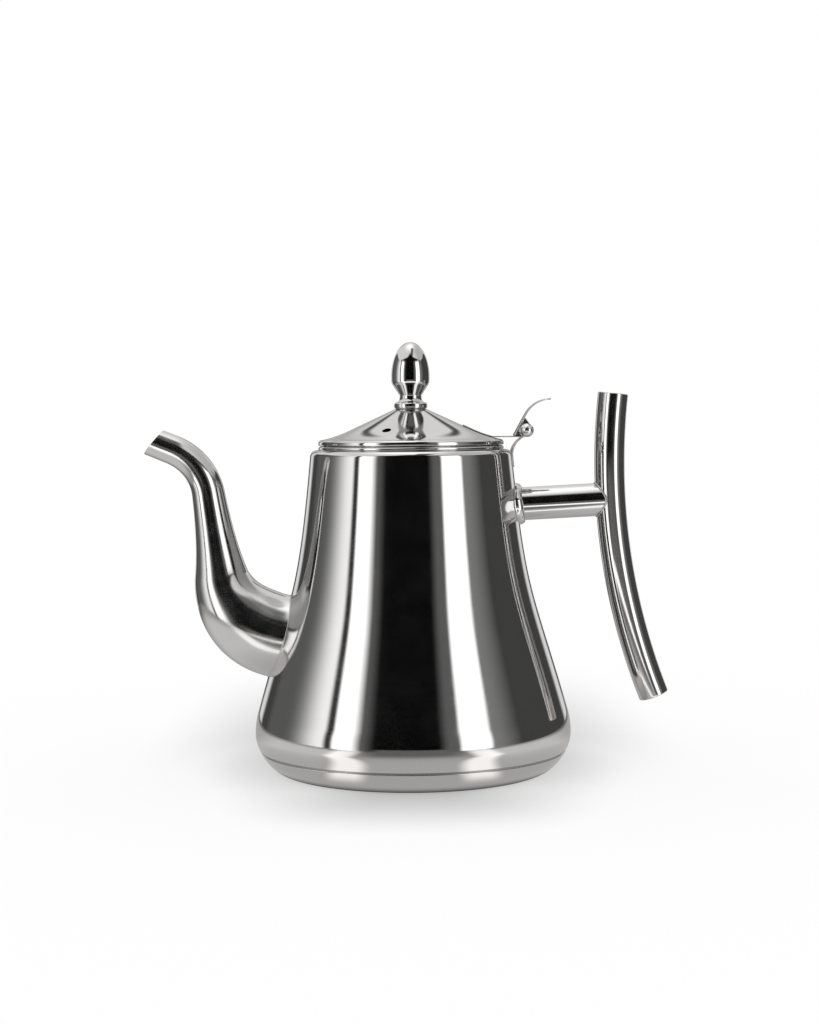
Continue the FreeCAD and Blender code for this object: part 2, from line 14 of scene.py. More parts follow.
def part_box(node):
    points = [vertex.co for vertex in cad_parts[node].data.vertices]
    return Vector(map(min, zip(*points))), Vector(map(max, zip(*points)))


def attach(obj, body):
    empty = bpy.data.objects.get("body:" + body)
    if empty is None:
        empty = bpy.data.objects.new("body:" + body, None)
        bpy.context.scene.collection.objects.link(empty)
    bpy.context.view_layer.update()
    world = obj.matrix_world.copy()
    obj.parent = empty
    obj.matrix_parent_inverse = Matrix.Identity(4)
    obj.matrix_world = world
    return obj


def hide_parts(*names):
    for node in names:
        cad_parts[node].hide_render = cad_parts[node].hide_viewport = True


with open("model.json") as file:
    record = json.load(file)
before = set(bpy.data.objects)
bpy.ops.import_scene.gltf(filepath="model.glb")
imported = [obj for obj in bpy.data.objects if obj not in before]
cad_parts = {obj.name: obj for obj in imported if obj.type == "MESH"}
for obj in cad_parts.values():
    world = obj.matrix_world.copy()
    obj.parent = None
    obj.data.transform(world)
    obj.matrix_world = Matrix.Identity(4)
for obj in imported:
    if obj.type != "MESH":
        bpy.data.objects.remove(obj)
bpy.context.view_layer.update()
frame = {"nodes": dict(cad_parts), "record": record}


# Body wall
# One sheet of stainless steel, drawn and spun to a flared pear and mirror-polished on the wheel.
# Its mouth is rolled into a lip, its lower edge is folded into the base seam, and strainer holes
# are drilled through it behind the spout.

wall_low, wall_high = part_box("body_shell")
sheet = 0.0008
bulge_r = wall_high.x
seam_high = wall_low.z
lip_top = wall_high.z
lip_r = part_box("lid_shell")[1].x
foot_r = 0.0645
bulge_z = 0.019
bulge_bend = 0.041
base_fullness = 0.5
seam_round = 0.0007
flare_angle = 15.9
flare_lower_pull = 0.0635
flare_upper_pull = 0.070
shoulder_lean = 5.5
shoulder_round = 0.0032
shoulder_flat = 0.0014
bead_r = 0.00115
bead_crease = 50


def polar(centre, radius, angle):
    """A point of a half section, at an angle in degrees from outward to upward."""
    turn = math.radians(angle)
    return centre + radius * Vector((math.cos(turn), math.sin(turn)))


def arc(centre, radius, start, end, steps):
    """Points along an arc of a half section."""
    return [polar(centre, radius, start + (end - start) * i / steps) for i in range(steps + 1)]


def straight(start, end, steps):
    return [start.lerp(end, i / steps) for i in range(steps + 1)]


def bezier(poles, steps):
    """Points along a Bezier curve, from lines between its poles and then lines between those."""
    points = []
    for i in range(steps + 1):
        level = poles
        while len(level) > 1:
            level = [a.lerp(b, i / steps) for a, b in zip(level, level[1:])]
        points.append(level[0])
    return points


def base_turn(inset, high, low, steps):
    """Points down the turn from bulge to foot between two heights, moved in by an inset."""
    poles = [(bulge_r - inset, bulge_z), (bulge_r - inset, inset), (foot_r, inset)]

    def travel(height):
        if height <= inset:
            return 1
        depth = (bulge_z - inset) / (height - inset)
        ratio = math.sqrt(base_fullness ** 2 - 1 + depth) - base_fullness
        return ratio / (1 + ratio)

    points = []
    for i in range(steps + 1):
        t = travel(high) + (travel(low) - travel(high)) * i / steps
        pulls = [(1 - t) ** 2, 2 * t * (1 - t) * base_fullness, t ** 2]
        pulled = [Vector(pole) * pull for pole, pull in zip(poles, pulls)]
        points.append((pulled[0] + pulled[1] + pulled[2]) / sum(pulls))
    return points


bead_centre = Vector((lip_r - bead_r, lip_top - bead_r))
bead_foot = polar(bead_centre, bead_r, -bead_crease)
shoulder_centre = Vector((bead_foot.x + shoulder_flat, bead_foot.y - shoulder_round))


def wall_line(inset, fineness):
    """Points up the wall from the bulge to the shoulder's top, moved in by an inset."""
    bulge_centre = Vector((bulge_r - bulge_bend, bulge_z))
    flare_foot = polar(bulge_centre, bulge_bend - inset, flare_angle)
    flare_top = polar(shoulder_centre, shoulder_round - inset, shoulder_lean)
    lower_pull = polar(flare_foot, flare_lower_pull, flare_angle + 90)
    upper_pull = polar(flare_top, flare_upper_pull, shoulder_lean - 90)
    return (
        arc(bulge_centre, bulge_bend - inset, 0, flare_angle, 8 * fineness)[:-1]
        + bezier([flare_foot, lower_pull, upper_pull, flare_top], 40 * fineness)[:-1]
        + arc(shoulder_centre, shoulder_round - inset, shoulder_lean, 90, 7 * fineness)
    )


outer_wall = wall_line(0, 2)


def wall_radius(height):
    """Radius of the wall's outside at a height between bulge and shoulder."""
    for low, high in zip(outer_wall, outer_wall[1:]):
        if low.y <= height <= high.y:
            return low.x + (high.x - low.x) * (height - low.y) / (high.y - low.y)
    raise ValueError(f"the wall doesn't reach the height {height}")


def made(shape):
    """The mesh of a finished bmesh, with its faces turned outwards."""
    bmesh.ops.recalc_face_normals(shape, faces=shape.faces)
    mesh = bpy.data.meshes.new("shape")
    shape.to_mesh(mesh)
    shape.free()
    return mesh


def turned(outline, steps=240):
    """A closed mesh turned about the kettle's axis from a closed half section."""
    shape = bmesh.new()
    turns = [2 * math.pi * i / steps for i in range(steps)]
    rings = []
    for radius, height in outline:
        if radius == 0:
            rings.append([shape.verts.new((0, 0, height))] * steps)
            continue
        spots = [(radius * math.cos(t), radius * math.sin(t), height) for t in turns]
        rings.append([shape.verts.new(spot) for spot in spots])
    for ring, next_ring in zip(rings, rings[1:] + rings[:1]):
        for i in range(steps):
            corners = dict.fromkeys((ring[i - 1], ring[i], next_ring[i], next_ring[i - 1]))
            if len(corners) > 2:
                shape.faces.new(corners)
    return made(shape)


class Wire:
    """One output of a node, for use in sums. Without an output it stands for the bare tree."""

    def __init__(self, tree, socket=None):
        self.tree = tree
        self.socket = socket

    def node(self, kind, settings=None, sockets=None, output=0):
        """Adds a node, sets its settings and then its sockets, and returns one of its outputs."""
        node = self.tree.nodes.new(kind)
        for name, value in (settings or {}).items():
            setattr(node, name, value)
        for name, value in (sockets or {}).items():
            if isinstance(value, Wire):
                self.tree.links.new(value.socket, node.inputs[name])
            else:
                node.inputs[name].default_value = value
        return Wire(self.tree, node.outputs[output] if node.outputs else None)

    def output(self, name):
        """Another output of the same node."""
        return Wire(self.tree, self.socket.node.outputs[name])

    def math(self, operation, *terms):
        return self.node("ShaderNodeMath", {"operation": operation}, dict(enumerate(terms)))

    def __add__(self, other):
        return self.math("ADD", self, other)

    def __sub__(self, other):
        return self.math("SUBTRACT", self, other)

    def __rsub__(self, other):
        return self.math("SUBTRACT", other, self)

    def __mul__(self, other):
        return self.math("MULTIPLY", self, other)

    def __truediv__(self, other):
        return self.math("DIVIDE", self, other)

    __radd__ = __add__
    __rmul__ = __mul__


def rise(value, start, end):
    """0 below the start, 1 above the end and a soft step between them."""
    return value.node(
        "ShaderNodeMapRange", {"interpolation_type": "SMOOTHSTEP"},
        {"Value": value, "From Min": start, "From Max": end},
    )


cloud_scale = 34
smear_scale = 90
wave_scale = 24
# A darker tone for the seam's groove, standing for grime and painted shade.
shade_and_grime_tone = (0.34, 0.33, 0.32)


def metal(name, dark, light, polish, smear, grain, ripple, drawn=None, shade_and_grime=None):
    """Bare metal: two tones in soft clouds, polishing lines, smears and the ripple of worked sheet.

    Polish is the least roughness and smear what wear adds to it. Grain stretches the lines, which
    run along the axis with the smallest number, and ripple is the height of the sheet's waves.
    Drawn names the attribute that holds a tube's straightened shape, if its lines follow that.
    The last argument gives two radii from the kettle's axis: where a darker tone starts, which stands
    for grime and painted shade in a groove, and where that tone is full.
    """
    material = bpy.data.materials.new(name)
    material.use_nodes = True
    material.node_tree.nodes.clear()
    tree = Wire(material.node_tree)
    place = tree.node("ShaderNodeTexCoord", output="Object")

    def noise(vector, scale, detail):
        return tree.node(
            "ShaderNodeTexNoise", None, {"Vector": vector, "Scale": scale, "Detail": detail}
        )

    clouds = noise(place, cloud_scale, 3)
    smears = noise(place, smear_scale, 5)
    line_place = place
    if drawn:
        line_place = tree.node("ShaderNodeAttribute", {"attribute_name": drawn}, output="Vector")
    stretched = tree.node("ShaderNodeMapping", None, {"Vector": line_place, "Scale": grain})
    lines = noise(stretched, 1, 4)
    waves = noise(place, wave_scale, 1)
    mottle = clouds * 0.7 + lines * 0.3
    tone = tree.node(
        "ShaderNodeMix", {"data_type": "RGBA"},
        {0: mottle, 6: (*dark, 1), 7: (*light, 1)}, output=2,
    )
    if shade_and_grime:
        flat = tree.node("ShaderNodeVectorMath", {"operation": "MULTIPLY"}, {0: place, 1: (1, 1, 0)})
        from_axis = tree.node(
            "ShaderNodeVectorMath", {"operation": "LENGTH"}, {0: flat}, output="Value"
        )
        tone = tree.node(
            "ShaderNodeMix", {"data_type": "RGBA"},
            {0: rise(from_axis, *shade_and_grime), 6: tone, 7: (*shade_and_grime_tone, 1)}, output=2,
        )
    normal = tree.node("ShaderNodeBump", None, {"Strength": 1, "Distance": ripple, "Height": waves})
    wear = rise(smears * 0.6 + lines * 0.4, 0.35, 0.7)
    surface = tree.node(
        "ShaderNodeBsdfPrincipled", None,
        {"Base Color": tone, "Metallic": 1, "Roughness": polish + wear * smear, "Normal": normal},
    )
    tree.node("ShaderNodeOutputMaterial", None, {"Surface": surface})
    return material


smooth_limit = math.radians(38)
broken_limit = math.radians(40)


def piece_of(name, mesh, material):
    """An object at the origin from a mesh, smooth except along its real edges."""
    mesh.materials.clear()
    mesh.materials.append(material)
    mesh.shade_smooth()
    mesh.set_sharp_from_angle(angle=smooth_limit)
    piece = bpy.data.objects.new(name, mesh)
    bpy.context.scene.collection.objects.link(piece)
    return piece


def ease(piece, width):
    """Breaks the sharp edges of a piece with a small round."""
    bevel = piece.modifiers.new("broken edges", "BEVEL")
    bevel.width = width
    bevel.segments = 3
    bevel.limit_method = "ANGLE"
    bevel.angle_limit = broken_limit
    bevel.harden_normals = True


def settle(piece, body, slot, *nodes):
    """The piece moves with a body and stands for some nodes, which it hides. The slot is not used."""
    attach(piece, body)
    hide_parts(*nodes)


def new_tree(name, **inputs):
    """A Geometry Nodes tree with named inputs: returns the tree and a wire for each input."""
    group = bpy.data.node_groups.new(name, "GeometryNodeTree")
    for title, kind in inputs.items():
        group.interface.new_socket(title, in_out="INPUT", socket_type=f"NodeSocket{kind}")
    group.interface.new_socket("Geometry", in_out="OUTPUT", socket_type="NodeSocketGeometry")
    start = Wire(group).node("NodeGroupInput")
    return Wire(group), {title: start.output(title) for title in inputs}


def end_tree(tree, geometry, material):
    """Ends a tree with real faces and their material."""
    real = tree.node("GeometryNodeRealizeInstances", None, {"Geometry": geometry})
    dressed = tree.node("GeometryNodeSetMaterial", None, {"Geometry": real, "Material": material})
    tree.node("NodeGroupOutput", None, {"Geometry": dressed})


def grown(tree, mesh=None, wall=0, **values):
    """The plain mesh that a tree makes from an optional starting mesh and its named inputs.

    With a wall, the mesh that it makes is a skin, which gets that thickness inwards.
    """
    seed = bpy.data.objects.new("seed", mesh or bpy.data.meshes.new("seed"))
    bpy.context.scene.collection.objects.link(seed)
    modifier = seed.modifiers.new("grown", "NODES")
    modifier.node_group = tree.tree
    for item in tree.tree.interface.items_tree:
        if item.in_out == "INPUT" and item.name in values:
            modifier[item.identifier] = values[item.name]
    if wall:
        thick = seed.modifiers.new("wall", "SOLIDIFY")
        thick.thickness = wall
        thick.offset = -1
    evaluated = seed.evaluated_get(bpy.context.evaluated_depsgraph_get())
    result = bpy.data.meshes.new_from_object(evaluated)
    bpy.data.objects.remove(seed)
    return result


def drill_tree(rings):
    """A tree that drills one hole and rings of holes round it, at a pitch, through a mesh."""
    tree, given = new_tree(
        "Drilled Holes", Geometry="Geometry", Radius="Float", Depth="Float", Pitch="Float",
        Centre="Vector", Turn="Rotation", Finish="Material",
    )
    spots = [tree.node("GeometryNodeMeshLine", {"mode": "OFFSET"}, {"Count": 1})]
    for number in range(1, rings + 1):
        holes = int(2 * math.pi * number)
        ring = tree.node(
            "GeometryNodeMeshCircle", None, {"Vertices": holes, "Radius": given["Pitch"] * number}
        )
        spots.append(ring)
    joined = tree.tree.nodes.new("GeometryNodeJoinGeometry")
    for spot in spots:
        tree.tree.links.new(spot.socket, joined.inputs[0])
    drill = tree.node(
        "GeometryNodeMeshCylinder", None,
        {"Vertices": 32, "Radius": given["Radius"], "Depth": given["Depth"]},
    )
    drills = tree.node(
        "GeometryNodeInstanceOnPoints", None,
        {"Points": Wire(tree.tree, joined.outputs[0]), "Instance": drill},
    )
    placed = tree.node(
        "GeometryNodeTransform", None,
        {"Geometry": drills, "Translation": given["Centre"], "Rotation": given["Turn"]},
    )
    tools = tree.node("GeometryNodeRealizeInstances", None, {"Geometry": placed})
    cut = tree.node(
        "GeometryNodeMeshBoolean", {"operation": "DIFFERENCE", "solver": "EXACT"},
        {"Mesh 1": given["Geometry"], "Mesh 2": tools},
    )
    end_tree(tree, cut, given["Finish"])
    return tree


def heading(angle):
    """The way that points to -X, raised by an angle."""
    turn = math.radians(angle)
    return Vector((-math.cos(turn), 0, math.sin(turn)))


spout_z = 0.0666
spout_sink = 0.0042
spout_root_angle = 6
strainer_r = 0.0025
strainer_pitch = 0.0077
strainer_rings = 2
strainer_depth = 0.02
polished_tones = ((0.68, 0.67, 0.66), (0.74, 0.735, 0.73))
spun_grain = (5, 5, 1800)

spout_root = Vector((spout_sink - wall_radius(spout_z), 0, spout_z))
wall_steel = metal(
    "polished wall", *polished_tones, polish=0.045, smear=0.04, grain=spun_grain, ripple=0.00003
)
wall_skin = base_turn(0, bulge_z, seam_high + seam_round, 16)[::-1] + outer_wall[1:]
wall_foot = base_turn(0, bulge_z, seam_high, 1)[-1]
wall_outline = (
    wall_skin
    + arc(bead_centre, bead_r, -bead_crease, 180, 20)
    + [Vector((lip_r - 2 * bead_r, bead_foot.y - sheet))]
    + wall_line(sheet, 1)[::-1]
    + base_turn(sheet, bulge_z, seam_high, 8)[1:]
    + bezier([wall_foot - Vector((seam_round, 0)), wall_foot, wall_skin[0]], 6)[:-1]
)
wall_mesh = grown(
    drill_tree(strainer_rings), turned(wall_outline), Radius=strainer_r, Depth=strainer_depth,
    Pitch=strainer_pitch, Centre=spout_root, Finish=wall_steel,
    Turn=Euler((0, math.radians(spout_root_angle - 90), 0)),
)
wall = piece_of("kettle_wall", wall_mesh, wall_steel)
settle(wall, "kettle", "polished_steel", "body_shell")


# Base
# A pressed cup closes the bottom, seamed to the wall and polished with it. An aluminium disc and
# the inner pan lie sealed above it, and only the pan's edge shows in the seam's groove, painted darker
# there as grime and painted shade.

seam_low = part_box("base_cap")[1].z
cap_skin = base_turn(0, seam_low - seam_round, 0, 30)[::-1]
cap_edge = base_turn(0, seam_low, 0, 1)[0]
cap_outline = (
    [Vector((0, sheet)), Vector((0, 0)), Vector((foot_r / 2, 0))]
    + cap_skin[:-1]
    + bezier([cap_skin[-1], cap_edge, cap_edge - Vector((seam_round, 0))], 6)
    + base_turn(sheet, seam_low, sheet, 12)
    + [Vector((foot_r / 2, sheet))]
)
base_steel = metal(
    "polished base", (0.66, 0.65, 0.64), (0.72, 0.71, 0.70),
    polish=0.08, smear=0.08, grain=spun_grain, ripple=0.00003,
)
base = piece_of("base_cup", turned(cap_outline), base_steel)
settle(base, "kettle", "polished_steel", "base_cap")


def finish_node(name, material):
    """Gives a carried-over node a finish in place of its plain one."""
    mesh = frame["nodes"][name].data
    mesh.materials.clear()
    mesh.materials.append(material)


satin = {
    "dark": (0.52, 0.51, 0.50), "light": (0.62, 0.61, 0.60), "polish": 0.24, "smear": 0.12,
    "grain": (40, 40, 2400), "ripple": 0.00001,
}
pan_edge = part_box("base_pan")[1].x
# The pan's edge is painted darker in the seam's groove, as grime and painted shade.
shade_and_grime_depths = (0.0007, 0.0002)
pan_steel = metal("satin pan", **satin, shade_and_grime=[pan_edge - depth for depth in shade_and_grime_depths])
finish_node("base_pan", pan_steel)
rolled_aluminium = metal(
    "rolled aluminium", (0.74, 0.74, 0.75), (0.82, 0.82, 0.83),
    polish=0.3, smear=0.12, grain=(3000, 30, 30), ripple=0.00002,
)
finish_node("heat_disc", rolled_aluminium)


# Spout
# A swan neck formed from tube: wide where it is coped and welded to the wall, slim from the elbow
# up, and cut slantwise at its tip. Its weld is ground back to a fine bead.

spout_lead = 0.014
spout_root_r = 0.0211
elbow_bend = 0.0374
run_angle = 81.6
run_length = 0.0407
neck_bend = 0.0289
tip_angle = 22
tip_length = 0.010
tip_r = 0.00725
tip_cut_angle = 17.7
tip_overrun = 0.0145
taper_length = 0.047
taper_power = 3.4
tip_edge = 0.0002
elbow_length = elbow_bend * math.radians(run_angle - spout_root_angle)
neck_length = neck_bend * math.radians(run_angle - tip_angle)
spout_length = elbow_length + run_length + neck_length + tip_length


def spout_station(distance):
    """Place and heading angle of the spout's axis at a distance from its root."""
    if distance < 0:
        return spout_root + heading(spout_root_angle) * distance, spout_root_angle
    elbow_angle = spout_root_angle + math.degrees(min(distance, elbow_length) / elbow_bend)
    elbow_centre = spout_root + heading(spout_root_angle + 90) * elbow_bend
    place = elbow_centre - heading(elbow_angle + 90) * elbow_bend
    if distance <= elbow_length:
        return place, elbow_angle
    place = place + heading(run_angle) * min(distance - elbow_length, run_length)
    beyond = distance - elbow_length - run_length
    if beyond <= 0:
        return place, run_angle
    neck_angle = run_angle - math.degrees(min(beyond, neck_length) / neck_bend)
    neck_centre = place - heading(run_angle + 90) * neck_bend
    place = neck_centre + heading(neck_angle + 90) * neck_bend
    return place + heading(neck_angle) * max(beyond - neck_length, 0), neck_angle


def spout_radius(distance):
    """Outer radius along the spout: wide through the elbow, slim from there to the tip."""
    def fullness(length):
        return 1 / (1 + (max(length, 0) / taper_length) ** taper_power)

    least = fullness(spout_length)
    share = (fullness(min(distance, spout_length)) - least) / (1 - least)
    return tip_r + (spout_root_r - tip_r) * share


def spout_point(distance, turn, inset):
    """A point of the spout's skin, or of its bore when moved in by an inset."""
    place, angle = spout_station(distance)
    outward = heading(angle + 90) * math.cos(turn) + Vector((0, math.sin(turn), 0))
    return place + outward * (spout_radius(distance) - inset)


def last_before(passed, start, end):
    """Where a line passes something between two distances along it, found by halving."""
    for _ in range(36):
        middle = (start + end) / 2
        if passed(middle):
            end = middle
        else:
            start = middle
    return end


def clear_of_wall(spot):
    return math.hypot(spot.x, spot.y) > wall_radius(spot.z)


def spout_line(turn, inset, steps):
    """Points along the spout from the wall to the slanted tip."""
    tip, angle = spout_station(spout_length)
    cut = heading(angle + tip_cut_angle)
    start = last_before(
        lambda d: clear_of_wall(spout_point(d, turn, inset)), -spout_lead, elbow_length / 2
    )
    end = last_before(
        lambda d: (spout_point(d, turn, inset) - tip).dot(cut) > 0,
        spout_length - tip_overrun, spout_length + tip_overrun,
    )
    return [spout_point(start + (end - start) * i / steps, turn, inset) for i in range(steps + 1)]


def sleeve(skin_line, bore_line, around, radius):
    """A tube with closed ends, from lines along its skin and its bore at each turn.

    Its attribute "drawn" holds each corner's place on the straight tube that it was bent from.
    """
    shape = bmesh.new()
    drawn = shape.verts.layers.float_vector.new("drawn")
    loops = []
    for number in range(around):
        turn = 2 * math.pi * number / around
        spots = skin_line(turn) + bore_line(turn)[::-1]
        loop = [shape.verts.new(spot) for spot in spots]
        travel = 0
        for corner, last in zip(loop, spots[:1] + spots):
            travel += (corner.co - last).length
            corner[drawn] = (radius * math.cos(turn), radius * math.sin(turn), travel)
        loops.append(loop)
    for loop, next_loop in zip(loops, loops[1:] + loops[:1]):
        for i in range(len(loop)):
            shape.faces.new((loop[i - 1], loop[i], next_loop[i], next_loop[i - 1]))
    return made(shape)


spout_steel = metal(
    "polished spout", (0.66, 0.65, 0.64), (0.74, 0.735, 0.73),
    polish=0.09, smear=0.12, grain=(900, 900, 14), ripple=0.00003, drawn="drawn",
)
spout_mesh = sleeve(
    lambda turn: spout_line(turn, 0, 170), lambda turn: spout_line(turn, sheet, 60), 144, tip_r
)
spout = piece_of("swan_neck", spout_mesh, spout_steel)
ease(spout, tip_edge)
settle(spout, "kettle", "polished_steel", "spout")


def bead_tree():
    """A tree that runs a fine, slightly uneven weld bead along a closed line."""
    tree, given = new_tree(
        "Weld Bead", Geometry="Geometry", Radius="Float", Unevenness="Float", Finish="Material"
    )
    line = tree.node("GeometryNodeMeshToCurve", None, {"Mesh": given["Geometry"]})
    swell = tree.node(
        "FunctionNodeRandomValue", None, {2: 1 - given["Unevenness"], 3: 1, "Seed": 4}, output=1
    )
    uneven = tree.node("GeometryNodeSetCurveRadius", None, {"Curve": line, "Radius": swell})
    section = tree.node(
        "GeometryNodeCurvePrimitiveCircle", None, {"Resolution": 12, "Radius": given["Radius"]}
    )
    bead = tree.node(
        "GeometryNodeCurveToMesh", None, {"Curve": uneven, "Profile Curve": section, "Scale": swell}
    )
    end_tree(tree, bead, given["Finish"])
    return tree


bead_unevenness = 0.25
spout_weld_r = 0.00045
weld_steel = metal(
    "weld bead", (0.50, 0.49, 0.48), (0.70, 0.69, 0.68),
    polish=0.16, smear=0.2, grain=(900, 900, 900), ripple=0.00002,
)


def weld(name, spots, radius):
    """A weld bead along a closed line of spots, as a piece of its own."""
    shape = bmesh.new()
    corners = [shape.verts.new(spot) for spot in spots]
    for i in range(len(corners)):
        shape.edges.new((corners[i - 1], corners[i]))
    line = bpy.data.meshes.new(name)
    shape.to_mesh(line)
    shape.free()
    mesh = grown(bead_tree(), line, Radius=radius, Unevenness=bead_unevenness, Finish=weld_steel)
    bead = piece_of(name, mesh, weld_steel)
    settle(bead, "kettle", "polished_steel")


def round_turns(count):
    return [2 * math.pi * i / count for i in range(count)]


weld("spout_weld", [spout_line(turn, 0, 1)[0] for turn in round_turns(160)], spout_weld_r)


# Handle
# A level tube, coped and welded to the wall at one end and to the grip at the other, carries a
# bowed oval tube whose ends are closed by small welded plates. All of it is polished.

strut_drop = 0.0247
strut_tilt = 2.8
strut_r = 0.00825
strut_length = 0.0392
strut_weld_r = 0.0007
tube_wall = 0.001
shoulder_z = shoulder_centre.y + shoulder_round * math.sin(math.radians(shoulder_lean))
strut_z = shoulder_z - strut_drop
strut_root = Vector((wall_radius(strut_z), 0, strut_z))
strut_way = -heading(-strut_tilt)

grip_depth = 0.015
grip_width = 0.018
grip_bend = 0.320
grip_apex_rise = 0.0199
grip_above = 0.055
grip_below = 0.0965
grip_plate = 0.001
strut_end_z = strut_z + strut_length * math.tan(math.radians(strut_tilt))
grip_apex_z = strut_z + grip_apex_rise
grip_axis_x = strut_root.x + strut_length + grip_depth / 2
grip_centre = Vector((
    grip_axis_x + math.sqrt(grip_bend ** 2 - (grip_apex_z - strut_end_z) ** 2), 0, grip_apex_z
))
grip_low = math.asin((strut_z - grip_below - grip_apex_z) / grip_bend)
grip_high = math.asin((strut_z + grip_above - grip_apex_z) / grip_bend)
plate_turn = grip_plate / grip_bend


def inside_grip(spot):
    offset = math.hypot(spot.x - grip_centre.x, spot.z - grip_centre.z) - grip_bend
    return (2 * offset / grip_depth) ** 2 + (2 * spot.y / grip_width) ** 2 < 1


def strut_line(turn, inset, steps):
    """Points along the strut from the wall to the grip."""
    across = Vector((0, math.sin(turn), 0)) + heading(90 - strut_tilt) * math.cos(turn)
    foot = strut_root + across * (strut_r - inset)
    start = last_before(lambda d: clear_of_wall(foot + strut_way * d), -2 * strut_r, strut_r)
    end = last_before(
        lambda d: inside_grip(foot + strut_way * d), strut_length / 2, strut_length + grip_depth / 2
    )
    return [foot + strut_way * (start + (end - start) * i / steps) for i in range(steps + 1)]


def stacked(sections, ring=False):
    """A closed mesh through a stack of like sections: with flat ends, or joined into a ring."""
    shape = bmesh.new()
    loops = [[shape.verts.new(spot) for spot in section] for section in sections]
    for loop, next_loop in zip(loops, loops[1:] + (loops[:1] if ring else [])):
        for i in range(len(loop)):
            shape.faces.new((loop[i - 1], loop[i], next_loop[i], next_loop[i - 1]))
    if not ring:
        shape.faces.new(loops[0])
        shape.faces.new(loops[-1])
    return made(shape)


strut_steel = metal(
    "polished strut", *polished_tones, polish=0.06, smear=0.06, grain=(30, 1600, 1600), ripple=0.00002
)
strut_mesh = sleeve(
    lambda turn: strut_line(turn, 0, 40), lambda turn: strut_line(turn, tube_wall, 20), 128, strut_r
)
strut = piece_of("level_strut", strut_mesh, strut_steel)
settle(strut, "kettle", "polished_steel", "handle_strut")
weld("strut_grip_weld", [strut_line(turn, 0, 1)[1] for turn in round_turns(120)], strut_weld_r)

fillet_rise = 0.0022
fillet_reach = 0.0031
fillet_sink = 0.0003
fillet_unevenness = 0.06


def fillet_section(turn):
    """Corners of the strut's root fillet at one turn: a round from wall to strut, sunk in both."""
    across = Vector((0, math.sin(turn), 0)) + heading(90 - strut_tilt) * math.cos(turn)
    corner = strut_line(turn, 0, 1)[0]
    swell = 1 + fillet_unevenness * math.sin(3 * turn + 1)
    above = corner + across * fillet_rise * swell
    on_wall = above + strut_way * last_before(
        lambda d: clear_of_wall(above + strut_way * d), -2 * strut_r, strut_r
    )
    up = on_wall - corner
    along = strut_way * fillet_reach * swell
    rounds = [math.radians(10 * step) for step in range(10)]
    skin = [corner + up * math.cos(lean) + along * math.sin(lean) for lean in rounds]
    sunk = [skin[0] - strut_way * fillet_sink, corner - (strut_way + across) * fillet_sink]
    return skin + [skin[-1] - across * fillet_sink] + sunk[::-1]


fillet_mesh = stacked([fillet_section(turn) for turn in round_turns(160)], True)
fillet = piece_of("strut_wall_weld", fillet_mesh, strut_steel)
settle(fillet, "kettle", "polished_steel")


def bowed_bar_tree():
    """A tree that sweeps an oval skin with open ends along an arc of the middle plane."""
    tree, given = new_tree(
        "Bowed Bar", Bend="Float", Start="Float", Sweep="Float", Depth="Float", Width="Float",
        Centre="Vector", Stations="Int", Finish="Material",
    )
    bow = tree.node(
        "GeometryNodeCurveArc", {"mode": "RADIUS"},
        {
            "Resolution": given["Stations"], "Radius": given["Bend"],
            "Start Angle": math.pi - given["Start"] - given["Sweep"], "Sweep Angle": given["Sweep"],
        },
    )
    upright = tree.node("GeometryNodeSetCurveNormal", {"mode": "Z_UP"}, {"Curve": bow})
    circle = tree.node("GeometryNodeCurvePrimitiveCircle", None, {"Resolution": 128, "Radius": 0.5})
    size = tree.node("ShaderNodeCombineXYZ", None, {"X": given["Depth"], "Y": given["Width"], "Z": 1})
    oval = tree.node("GeometryNodeTransform", None, {"Geometry": circle, "Scale": size})
    bar = tree.node("GeometryNodeCurveToMesh", None, {"Curve": upright, "Profile Curve": oval})
    raised = tree.node(
        "GeometryNodeTransform", None,
        {
            "Geometry": bar, "Translation": given["Centre"],
            "Rotation": Euler((math.pi / 2, 0, 0)),
        },
    )
    end_tree(tree, raised, given["Finish"])
    return tree


grip_steel = metal(
    "polished grip", *polished_tones, polish=0.06, smear=0.06, grain=(1600, 1600, 25), ripple=0.00003
)
grip_start = grip_low + plate_turn
grip_mesh = grown(
    bowed_bar_tree(), wall=tube_wall, Bend=grip_bend, Start=grip_start,
    Sweep=grip_high - plate_turn - grip_start, Depth=grip_depth, Width=grip_width,
    Centre=grip_centre, Stations=160, Finish=grip_steel,
)
grip = piece_of("bowed_grip", grip_mesh, grip_steel)
settle(grip, "kettle", "polished_steel", "handle_grip")

plate_round = 0.0004


def grip_section(turn, inset):
    """Corners of the grip's oval at a turn about its bend's centre, moved in by an inset."""
    outward = Vector((-math.cos(turn), 0, math.sin(turn)))
    deep = grip_depth / 2 - inset
    wide = grip_width / 2 - inset
    return [
        grip_centre + outward * (grip_bend + deep * math.cos(a)) + Vector((0, wide * math.sin(a), 0))
        for a in round_turns(128)
    ]


def grip_plate_mesh(joint, end):
    """A closing plate from the grip's tube to its free end, where the edge is rounded."""
    sections = [grip_section(joint, 0)]
    back = math.copysign(plate_round / grip_bend, joint - end)
    for step in range(7):
        lean = math.radians(15 * step)
        turn = end + back * (1 - math.sin(lean))
        sections.append(grip_section(turn, plate_round * (1 - math.cos(lean))))
    return stacked(sections)


for end_name, end, inward in (("top", grip_high, -1), ("bottom", grip_low, 1)):
    plate_mesh = grip_plate_mesh(end + inward * plate_turn, end)
    plate = piece_of(f"grip_{end_name}_plate", plate_mesh, grip_steel)
    settle(plate, "kettle", "polished_steel", f"handle_{end_name}_cap")


# Lid
# A shallow cone pressed from sheet, hemmed at the rim, with a small vent hole. A plain ring under
# it locates it in the mouth.

